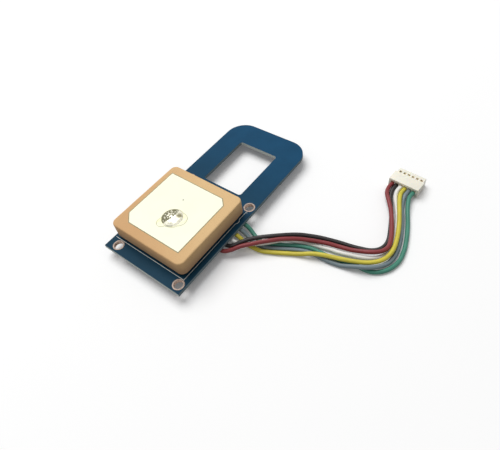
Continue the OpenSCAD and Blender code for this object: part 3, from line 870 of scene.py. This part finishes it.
def plugCavities():
    width, height = plug["cavity"]
    length, middle, flare = plug["size"][1], plug["size"][2] / 2, plug["flare"]
    shape = Shape()
    ends = ((-0.1, 3 * flare), (2 * flare, 0), (length - 2 * flare, 0), (length + 0.1, 3 * flare))
    for x in map(wayX, range(plug["ways"])):
        rings = []
        for y, wider in ends:
            w, h = (width + wider) / 2, (height + wider) / 2
            corners = ((-w, -h), (-w, h), (w, h), (w, -h))
            rings.append([(x + across, y, middle + rise) for across, rise in corners])
        shape.loft(rings, caps=(True, True))
    return looseObject(shape.mesh("cavities"))


def plugWindows():
    width, length = plug["window"]
    start = plug["size"][1] - plug["nose"] + plug["windowGap"]
    shape = Shape()
    levels = (plug["size"][2] / 2, plug["size"][2] + 1)
    for x in map(wayX, range(plug["ways"])):
        left, right = x - width / 2, x + width / 2
        ring = ((left, start), (right, start), (right, start + length), (left, start + length))
        shape.loft([[(*point, z) for point in ring] for z in levels], caps=(True, True))
    return looseObject(shape.mesh("windows"))


def nylonFinish():
    material = mouldedFinish("creamNylon", plug["nylon"], 0.42, 0.12, 0.012, 0.95, (2.5,), 0.5)
    letGlow(material, plug["glow"], plug["glowReach"])
    return material


def addPlug():
    width, length, height = plug["size"]
    inner = width / 2 - plug["noseInset"]
    block = looseBlock((-width / 2, 0, 0), (width / 2, length - plug["nose"], height), plug["ease"])
    nose = looseBlock((-inner, 1, 0), (inner, length, height - plug["noseDrop"]), plug["ease"])
    carve(block, nose, "UNION")
    carve(block, plugCavities(), "DIFFERENCE")
    carve(block, plugWindows(), "DIFFERENCE")
    mesh = block.data
    bpy.data.objects.remove(block)
    place = Matrix.Translation(Vector((*plug["at"], 0)) * mm)
    mesh.transform(place @ Matrix.Rotation(math.radians(plug["turn"]), 4, "Z"))
    mesh.materials.clear()
    mesh.materials.append(nylonFinish())
    brass = metalFinish("crimpBrass", plug["brass"], 0.28, 0.5)
    return [
        settle("plugShell", mesh, "plug_nylon", "plug_housing"),
        easedCopy("plug_contacts", "plugTerminals", plug["contactEase"], brass, "contact_brass"),
    ]


plugPieces = addPlug()
print("plug made")


# shield can: drawn sheet with round edges and a dimpled skirt
can = {
    "center": (-3.0, -6.5),
    "size": (15.0, 12.0),
    "corner": 0.9,
    "edge": 0.35,
    "sheet": 0.2,
    "foot": 2.6,
    "dimple": 0.32,
    "dimpleRise": 0.1,
    "dimpleDrop": 0.9,  # from the foot
    "dimples": (5, 4),  # along x and along y
    "metal": (0.62, 0.63, 0.64),
}


def canRings(inset, deep):
    rings = [roundRing(can["center"], can["size"], can["corner"], inset, can["foot"], 6, 20)]
    for away, drop in rolledEdge(can["edge"] - (inset and deep)):
        rings.append(roundRing(can["center"], can["size"], can["corner"], inset + away, deep + drop, 6, 20))
    return rings


def addCan():
    shape = Shape()
    outside, inside = canRings(0, 0), canRings(can["sheet"], can["sheet"])
    shape.loft(outside, caps=(False, True))
    shape.loft(inside, caps=(False, True))
    shape.loft([outside[0], inside[0]])
    halves = [side / 2 for side in can["size"]]
    for axis, count in enumerate(can["dimples"]):
        for k in range(count):
            along = (k + 0.5) / count * 2 - 1
            for way in (-1, 1):
                flat = [0, 0]
                flat[axis] = along * halves[axis]
                flat[1 - axis] = way * halves[1 - axis]
                addDimple(shape, [c + f for c, f in zip(can["center"], flat)], 1 - axis, -way)
    brushed = metalFinish("canSheet", can["metal"], 0.24, 0.42, 0.86, (0.25, 1, 1), 0.4)
    shape.piece("canCover", [brushed], "can_steel", "shield_can")


def addDimple(shape, place, axis, way):
    rings = []
    for turn in (0, 22, 45, 65, 82):
        radius = can["dimple"] * math.cos(math.radians(turn))
        out = 0.001 + can["dimpleRise"] * math.sin(math.radians(turn))
        ring = []
        for k in range(16):
            a = 2 * math.pi * k / 16
            point = [place[0], place[1], can["foot"] - can["dimpleDrop"] + radius * math.sin(a)]
            point[1 - axis] += radius * math.cos(a)
            point[axis] += way * out
            ring.append(tuple(point))
        rings.append(ring)
    shape.loft(rings, caps=(False, True))


addCan()
print("shield can made")


# backup cell: crimped cup with a smaller cap, held by two straps
cell = {
    "center": (-6.5, -20.5),
    "radius": 3.4,
    "levels": (0.2, 2.4),
    "cap": 2.75,
    "metal": (0.66, 0.67, 0.68),
    "straps": (0.6, 0.585, 0.54),
}


def addCell():
    low, high = cell["levels"]
    radius, cap = cell["radius"], cell["cap"]
    profile = [
        (0.02, low), (cap - 0.15, low), (cap, low + 0.05), (cap + 0.02, low + 0.16), (cap + 0.16, low + 0.2),
        (cap + 0.2, low + 0.12), (cap + 0.36, low + 0.08), (radius - 0.1, low + 0.18), (radius, low + 0.4),
        (radius, high - 0.3), (radius - 0.08, high - 0.1), (radius - 0.3, high), (0.02, high),
    ]
    shape = Shape()
    shape.loft([circleRing(cell["center"], r, z, 64) for r, z in profile], caps=(True, True))
    shape.piece("cellCup", [metalFinish("cellSteel", cell["metal"], 0.22, 0.4)], "cell_steel", "backup_cell")
    strapSteel = metalFinish("strapSteel", cell["straps"], 0.3, 0.5)
    easedCopy("cell_tabs", "cellStraps", 0.05, strapSteel, "cell_steel")


addCell()
print("backup cell made")


# small parts on the underside
smallParts = {
    "moulded": {  # colour, roughness, then grain and its depth
        "mouldedBlack": ((0.012, 0.012, 0.013), 0.55, 0.08, 0.012),
        "paleLid": ((0.62, 0.59, 0.5), 0.4),
        "capacitorTan": ((0.42, 0.27, 0.12), 0.5),
        "resistorBlack": ((0.016, 0.016, 0.018), 0.35),
        "beadGrey": ((0.075, 0.068, 0.064), 0.5),
        "lampResin": ((0.78, 0.8, 0.62), 0.2),
    },
    "metal": {  # colour, roughness where bright and dull, tint, streak, grain
        "brightTin": ((0.72, 0.71, 0.67), 0.25, 0.5, 0.8, (1, 1, 1), 0.3),
        "tinnedStrand": ((0.7, 0.68, 0.62), 0.3, 0.5, 0.7, (1, 6, 1), 0.2),
    },
    "parts": [  # node, piece, ease in mm, finish, slot
        ("receiver_chip", "receiverBody", 0.06, "mouldedBlack", "chip_black"),
        ("input_amplifier", "amplifierBody", 0.04, "mouldedBlack", "chip_black"),
        ("voltage_regulator", "regulatorBody", 0.08, "mouldedBlack", "chip_black"),
        ("compass_chip", "compassBody", 0.06, "mouldedBlack", "chip_black"),
        ("oscillator", "oscillatorLid", 0.06, "paleLid", "pale_ceramic"),
        ("input_filter", "filterLid", 0.05, "paleLid", "pale_ceramic"),
        ("regulator_leads", "regulatorLegs", 0.03, "brightTin", "solder"),
        ("capacitors", "capacitorBodies", 0.05, "capacitorTan", "capacitor_tan"),
        ("resistors", "resistorBodies", 0.03, "resistorBlack", "chip_black"),
        ("ferrite_beads", "beadBodies", 0.06, "beadGrey", "bead_grey"),
        ("status_lamps", "lampLenses", 0.06, "lampResin", "lamp_resin"),
        ("tinned_ends", "tinnedCaps", 0.05, "brightTin", "solder"),
        ("wire_pads", "wirePadTin", 0.015, "brightTin", "copper_tin"),
        ("feed_solder_bottom", "feedFillet", 0.04, "brightTin", "solder"),
        ("wire_cores", "wireStrands", 0.05, "tinnedStrand", "solder"),
        ("feed_pin", "feedRivet", 0.06, "tinnedStrand", "solder"),
        ("antenna_ground", "groundSilver", 0.01, "firedSilver", "silver"),
    ],
}


def dressSmallParts():
    for name, settings in smallParts["moulded"].items():
        mouldedFinish(name, *settings)
    for name, settings in smallParts["metal"].items():
        metalFinish(name, *settings)
    for node, name, ease, finish, slot in smallParts["parts"]:
        easedCopy(node, name, ease, bpy.data.materials[finish], slot)
    print("small parts made:", len(smallParts["parts"]))


dressSmallParts()


# soldered wire ends: a saddle of solder over each tinned strand
joints = {
    "x": (8.4, 11.0),
    "firstPad": -13.0,
    "padPitch": 2.0,
    "level": 2.55,
    "width": 1.4,
    "height": 1.22,
    "limit": 1.3,
    "lump": 0.1,
    "steps": (16, 14),  # along and across
}


def addJoints():
    start, end = joints["x"]
    along, across = joints["steps"]
    shape = Shape()
    for k in range(plug["ways"]):
        y = joints["firstPad"] + k * joints["padPitch"]
        rings = []
        for i in range(along + 1):
            share = i / along
            swell = math.sin(math.pi * (0.04 + 0.92 * share)) ** 0.6
            swell *= 1 + joints["lump"] * noise.noise(Vector((share * 2.5, k * 3.7, 0)))
            ring = []
            for j in range(across + 1):
                a = math.pi * j / across
                side = -math.cos(a) * joints["width"] / 2 * swell
                drop = min(math.sin(a) ** 1.4 * joints["height"] * swell, joints["limit"])
                ring.append((start + (end - start) * share, y + side, joints["level"] - drop))
            rings.append(ring)
        shape.loft(rings, caps=(True, True))
    shape.piece("wireJoints", [bpy.data.materials["brightTin"]], "solder", "wire_solder")


addJoints()
print("wire joints made:", plug["ways"])


# land under each two-ended part, with a fillet of solder up its tinned end
lands = {
    "level": 2.6,
    "plate": 0.03,
    "reach": 0.28,
    "hollow": 2.2,  # how the fillet curves in
    "steps": 6,
    "parts": {  # half length, width, fillet height, then the middles as x, y and turn
        "capacitor": (0.8, 0.8, 0.5, [
            (2.0, -24.5, 0), (5.6, -24.9, 0), (9.0, -21.5, 90), (9.0, -18.3, 90), (6.3, -11.9, 90),
            (6.3, -7.9, 90), (6.3, -3.9, 90), (2.9, 25.5, 90), (-2.9, 25.5, 90),
        ]),
        "resistor": (0.5, 0.5, 0.22, [
            (8.6, -24.7, 0), (3.2, -18.9, 90), (0.6, -24.9, 90), (-2.0, -27.1, 0), (6.3, -9.9, 90),
            (6.3, -5.9, 90),
        ]),
        "bead": (1.0, 1.2, 0.55, [(5.4, -16.5, 90), (3.0, -16.5, 90)]),
        "lamp": (0.8, 0.8, 0.35, [(2.4, -27.5, 0), (5.4, -27.5, 0)]),
    },
}


def addLands():
    high, steps = lands["level"], lands["steps"]
    shape = Shape()
    for half, width, climb, places in lands["parts"].values():
        for x, y, turn in places:
            way = Vector((math.cos(math.radians(turn)), math.sin(math.radians(turn))))
            side = Vector((-way.y, way.x)) * width / 2
            for end in (-1, 1):
                rings = []
                for k in range(steps + 1):
                    share = k / steps
                    foot = Vector((x, y)) + way * end * (half + lands["reach"] * share)
                    low = high - (lands["plate"] + climb * (1 - share) ** lands["hollow"])
                    left, right = foot + side, foot - side
                    rings.append([(*left, high), (*right, high), (*right, low), (*left, low)])
                shape.loft(rings, caps=(True, True))
    shape.piece("solderFillets", [bpy.data.materials["brightTin"]], "solder")


addLands()
print("solder fillets made")


# copper tracks and vias that show as ridges under the mask, and ink outlines, on the underside
tracks = {
    "level": 2.6,
    "thickness": 0.03,
    "width": 0.28,
    "wide": 0.6,
    "color": (0.008, 0.088, 0.185),
    "signals": [
        [(8.2, -9.0), (7.2, -9.0), (6.4, -8.9)], [(8.2, -7.0), (7.3, -7.0), (6.5, -7.0)],
        [(8.2, -5.0), (7.4, -5.0), (6.6, -5.0)], [(5.8, -8.6), (4.6, -8.6)], [(5.8, -7.2), (4.6, -7.2)],
        [(5.8, -5.2), (4.6, -5.2)], [(5.8, -3.2), (4.6, -3.2)], [(5.8, -11.2), (4.6, -11.2)],
        [(6.45, -20.3), (7.6, -19.2), (9.0, -19.2)],
        [(4.55, -20.3), (4.55, -19.4), (3.4, -18.3), (3.2, -18.3)],
        [(4.55, -22.7), (4.55, -23.6), (3.6, -24.5), (3.0, -24.5)], [(1.0, -24.5), (0.6, -24.3)],
        [(0.6, -25.6), (1.2, -26.4), (1.4, -27.4)], [(3.4, -27.5), (4.4, -27.5)],
        [(6.4, -27.5), (7.4, -26.6), (8.0, -25.4), (8.1, -24.8)],
        [(-1.3, -27.1), (0.2, -27.1), (1.4, -27.6)],
        [(-2.7, -27.1), (-4.4, -27.1), (-5.4, -26.1), (-5.4, -24.2)], [(3.0, -17.8), (3.2, -18.3)],
        [(8.4, -13.0), (9.8, -14.4), (9.8, -16.8), (9.2, -17.4)],
        [(11.2, -3.0), (12.5, -1.7), (12.5, -0.4)],
        [(9.0, -2.2), (9.0, 1.6), (8.6, 2.2), (8.6, 22.6), (6.6, 24.6), (3.6, 24.8)],
        [(9.7, -2.2), (9.7, 1.4), (9.4, 2.0), (9.4, 22.9), (6.4, 25.9), (3.9, 26.2)],
        [(1.6, 24.8), (2.4, 24.8)], [(-1.6, 26.2), (-2.6, 26.2)],
    ],
    "supplies": [
        [(8.4, -11.0), (7.3, -12.1), (6.6, -12.6)], [(5.4, -15.5), (5.4, -14.2), (6.2, -12.9)],
        [(3.0, -15.5), (3.0, -13.2), (3.0, -12.6)],
        [(-1.9, -20.5), (0.4, -20.5), (1.8, -19.4), (2.9, -17.8)],
        [(9.0, -22.4), (8.2, -23.4), (6.6, -24.4)],
    ],
    "vias": [
        (-12.4, -14.0), (-12.4, -9.0), (-12.4, -4.0), (-12.2, 5.0), (-12.2, 10.0), (-12.2, 15.0),
        (-12.2, 20.0), (-9.0, 27.6), (-4.0, 28.2), (4.0, 28.2), (9.0, 27.6), (12.2, 20.0), (12.2, 15.0),
        (12.2, 10.0), (12.2, 5.0), (12.4, -18.0), (12.4, -22.0), (-12.4, -24.0), (-9.4, -15.6),
        (-1.0, -15.4), (0.8, -22.2), (7.4, -19.6), (10.9, -20.0), (-4.0, -24.6), (-5.4, -24.2),
        (12.5, -0.4), (4.6, 26.2), (-4.4, 25.0),
    ],
    "viaRadius": 0.36,
    "viaHole": 0.14,
    "ink": [
        [(3.6, -23.1), (3.6, -19.9)], [(7.4, -23.1), (7.4, -19.9)],
        [(-1.9, 23.6), (-1.9, 27.4), (1.9, 27.4), (1.9, 23.6), (-1.3, 23.6)], [(7.9, -14.1), (7.9, -2.0)],
        [(7.9, -14.1), (11.6, -14.1)], [(3.75, -28.2), (3.75, -26.8)], [(6.75, -28.2), (6.75, -26.8)],
    ],
    "inkWidth": 0.15,
    "cellGap": 0.35,  # from the cell to its outline
}


def addTracks():
    high, low = tracks["level"], tracks["level"] - tracks["thickness"]
    shape = Shape()
    for width, lines in ((tracks["width"], tracks["signals"]), (tracks["wide"], tracks["supplies"])):
        for line in lines:
            ribbon(shape, line, width, low, high)
    hole, rim = tracks["viaHole"], tracks["viaRadius"]
    profile = [(rim, high), (rim - 0.03, low), (hole + 0.05, low), (hole, high)]
    for via in tracks["vias"]:
        shape.loft([circleRing(via, r, z, 20) for r, z in profile], loop=True)
    shape.piece("maskedTracks", [mouldedFinish("raisedMask", tracks["color"], 0.4, 0.2, 0.005)], "board")
    outlines = Shape()
    for line in tracks["ink"]:
        ribbon(outlines, line, tracks["inkWidth"], low, high)
    turns = [math.radians(30 + 12 * k) for k in range(26)]
    arc = arcRing(cell["center"], cell["radius"] + tracks["cellGap"], low, turns)
    ribbon(outlines, [point[:2] for point in arc], tracks["inkWidth"], low, high)
    outlines.piece("inkOutlines", [bpy.data.materials["whiteInk"]], "board")


addTracks()
print("tracks made:", len(tracks["signals"]) + len(tracks["supplies"]), "with", len(tracks["vias"]), "vias")


# six insulated wires, from the pads under the board's right edge to the plug
lead = {
    "diameter": 1.15,  # mm
    "stripX": 11.0,
    "edgeX": 13.5,
    "padLevel": 1.925,
    "plugStraight": 2.0,
    "floorLevel": 0.6,  # of the points without a height
    "glow": 0.5,  # light that pale insulation lets through
    "glowReach": (0.6, 0.6, 0.6),
}
wires = {
    "red": {"length": 68.6, "color": (0.24, 0.026, 0.03), "route": [
        (15.3, -11.9, 2.3), (17, -10, 2.9), (18.9, -8.2, 3.2), (20.7, -6.3, 3.25), (22.6, -4.5, 3.25),
        (24.4, -2.7, 3.1), (26.4, -1, 2.8), (28.4, 0.5, 2.4), (30.6, 1.8, 2), (32.9, 2.9, 1.7),
        (35.3, 3.8, 1.5), (37.8, 4.5, 1.3), (40.3, 5.1, 1.3), (42.7, 5.9, 1.5), (44.9, 6.7, 1.9),
        (46.9, 8.1, 2), (47.9, 10.2, 2), (47.4, 12.8, 1.95), (46.2, 15.8, 1.9), (44.8, 18.7, 1.9),
        (43.1, 21.7, 1.9), (41.2, 24.4, 1.9), (39.6, 26.7, 1.8),
    ]},
    "black": {"length": 65.3, "color": (0.014, 0.01, 0.01), "route": [
        (15.1, -10.3, 2.4), (16.5, -8.6, 3), (17.9, -6.9, 3.2), (19.8, -5, 3.2), (21.8, -3.3, 3.2),
        (23.7, -1.6, 3), (25.6, 0.2, 2.6), (27.6, 1.8, 2.2), (29.8, 3.1, 1.8), (32.1, 4.2, 1.5),
        (34.6, 5.1, 1.2), (37, 5.9, 0.9), (39.5, 6.5, 0.7), (42, 7.2), (44.3, 8), (46, 9.4), (46.8, 11.3),
        (46.7, 13.4), (45.9, 15.9), (44.8, 18.7), (43.5, 21.7), (42, 24.4, 0.7), (40.7, 26.8, 1.1),
    ]},
    "white": {"length": 66.3, "color": (0.93, 0.92, 0.88), "route": [
        (15.4, -8.8, 1.7), (17.3, -7.9, 1.85), (19.2, -6.7, 1.9), (20.9, -5.4, 1.9), (22.4, -4, 1.9),
        (24.1, -2.2, 1.7), (25.9, -0.5, 1.1), (28.3, 0.8), (30.8, 1.7), (33.3, 2.3), (36, 2.9), (38.6, 3.4),
        (41, 4.1), (43.4, 4.9), (45.5, 5.9), (47.3, 7.5), (48.3, 9.6), (48.3, 12.2), (47.5, 15.5),
        (46.3, 18.8), (45, 21.9), (43.5, 24.5, 0.7), (42.1, 26.8, 1.1),
    ]},
    "yellow": {"length": 67.0, "color": (0.7, 0.6, 0.062), "route": [
        (15.2, -7.1, 1.3), (17.2, -7.25, 0.7), (19.4, -7.2), (21.6, -6.85), (23.7, -5.9), (26, -4.75),
        (28.2, -3.55), (30.5, -2.45, 0.9), (32.8, -1.4, 1.6), (35.2, -0.4, 1.85), (37.6, 0.4, 1.85),
        (39.9, 1.1, 1.85), (42.1, 1.9, 1.85), (44.3, 2.8, 1.85), (46.4, 4, 1.9), (48.2, 5.8, 1.95),
        (49.1, 8.2, 1.8), (49.2, 10.7, 1.8), (48.7, 13.3, 1.8), (47.9, 16, 1.8), (46.8, 18.9, 1.8),
        (45.4, 22, 1.8), (44.1, 24.7, 1.8), (43.2, 26.9, 1.85),
    ]},
    "grey": {"length": 68.3, "color": (0.2, 0.26, 0.285), "route": [
        (15.1, -5.1, 1.3), (17, -5.5, 0.7), (19, -5.8), (21, -5.6), (23, -4.85), (25.3, -3.65),
        (27.5, -2.45), (29.9, -1.3), (32.2, -0.6), (34.8, -0.5), (37.3, -0.4), (39.8, 0), (42, 0.6, 1),
        (44.1, 1.3, 1.6), (46.2, 2.2, 1.9), (48.1, 3.7, 1.75), (49.3, 5.6, 1.2), (50, 7.8, 0.7),
        (50.1, 10.4), (49.6, 13.3), (48.8, 16), (47.7, 19), (46.4, 22), (45.1, 24.6, 0.7),
        (44.3, 26.9, 1.1),
    ]},
    "green": {"length": 69.1, "color": (0.058, 0.26, 0.185), "route": [
        (15.1, -3.2, 1.3), (16.9, -3.8, 0.7), (18.7, -4.4), (20.5, -4.4), (22.4, -3.7), (24.5, -2.6),
        (26.7, -1.4), (29.1, -0.2), (31.7, 0.6), (34.2, 0.8), (36.7, 0.9), (39.2, 1.3), (41.6, 1.8),
        (43.8, 2.2), (45.8, 2.2), (47.7, 2.6), (49.4, 3.8), (50.9, 5.9), (51.67, 9), (51.3, 12.6),
        (50.4, 15.8), (49.3, 18.8), (48, 21.8), (46.6, 24.6, 1), (45.7, 26.8, 1.4),
    ]},
}


def insulation(name, color):
    material = mouldedFinish(name, color, 0.42, 0.12, 0.01, 0.86, (3.0,), 0.4, specular=0.4)
    letGlow(material, lead["glow"] * min(color), lead["glowReach"])
    return material


def plugWay(index, back):
    turn = math.radians(plug["turn"])
    across = Vector((math.cos(turn), math.sin(turn), 0))
    along = Vector((-math.sin(turn), math.cos(turn), 0))
    return Vector((*plug["at"], plug["size"][2] / 2)) + across * wayX(index) - along * back


def layAlong(spline, points):
    spline.bezier_points.add(len(points) - 1)
    for i, knot in enumerate(spline.bezier_points):
        before, here, after = points[max(i - 1, 0)], points[i], points[min(i + 1, len(points) - 1)]
        heading = (after - before).normalized()
        if here.z <= min(before.z, after.z):
            heading.z = 0  # flat where it lies lowest
        knot.co = here
        knot.handle_left = here - heading * (here - before).length / 3
        knot.handle_right = here + heading * (after - here).length / 3


def addWire(index, color, wire):
    padY = joints["firstPad"] + index * joints["padPitch"]
    start = Vector((lead["stripX"], padY, lead["padLevel"]))
    edge = Vector((lead["edgeX"], padY, lead["padLevel"]))
    route = [(*point, lead["floorLevel"])[:3] for point in wire["route"]]
    points = [start, edge, *route, plugWay(index, lead["plugStraight"]), plugWay(index, 0)]
    curve = bpy.data.curves.new("insulation_" + color, "CURVE")
    curve.dimensions = "3D"
    curve.resolution_u = 8
    curve.bevel_depth = lead["diameter"] / 2 * mm
    curve.bevel_resolution = 4
    curve.use_fill_caps = True
    layAlong(curve.splines.new("BEZIER"), [Vector(point) * mm for point in points])
    piece = bpy.data.objects.new("insulation_" + color, curve)
    scene.collection.objects.link(piece)
    curve.materials.append(insulation("insulation_" + color, wire["color"]))
    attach(piece, "root")
    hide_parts("wire_" + color)


for index, (color, wire) in enumerate(wires.items()):
    addWire(index, color, wire)
print("wires made:", len(wires))
